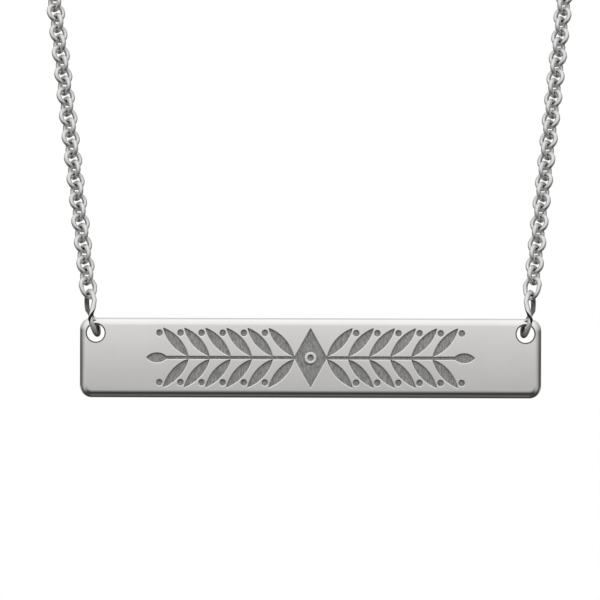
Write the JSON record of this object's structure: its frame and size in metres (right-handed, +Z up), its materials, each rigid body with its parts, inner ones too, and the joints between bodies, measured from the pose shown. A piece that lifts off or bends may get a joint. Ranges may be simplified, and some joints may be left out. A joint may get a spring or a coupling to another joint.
{
  "type": "nameplate necklace",
  "caption": "Polished bar nameplate with an engraved leaf spray, hung by both upper corners from a closed neck chain of small round links.",
  "frame": {"origin": "at the nape, at the middle of the clasp's ring", "axes": "+Z up, -Y towards the wearer's front, +X to the right as seen from the front"},
  "size_m": [0.117, 0.1028, 0.1205],
  "materials": {
    "plate_silver": "polished, with a matte engraved floor",
    "link_silver": "polished wire",
    "clasp_silver": "polished"
  },
  "bodies": {
    "chain": {"end_link_left": "link_silver", "end_link_right": "link_silver", "front_links_left": "link_silver", "front_links_right": "link_silver", "chain_left": "link_silver", "chain_right": "link_silver", "clasp": "clasp_silver", "catch_link": "clasp_silver"},
    "nameplate": {"nameplate": "plate_silver"}
  },
  "joints": [
    {"name": "nameplate_swing", "type": "hinge", "parent": "chain", "child": "nameplate", "pos_m": [0, -0.1, -0.112], "axis": [1, 0, 0], "range_deg": [-90, 60]}
  ]
}
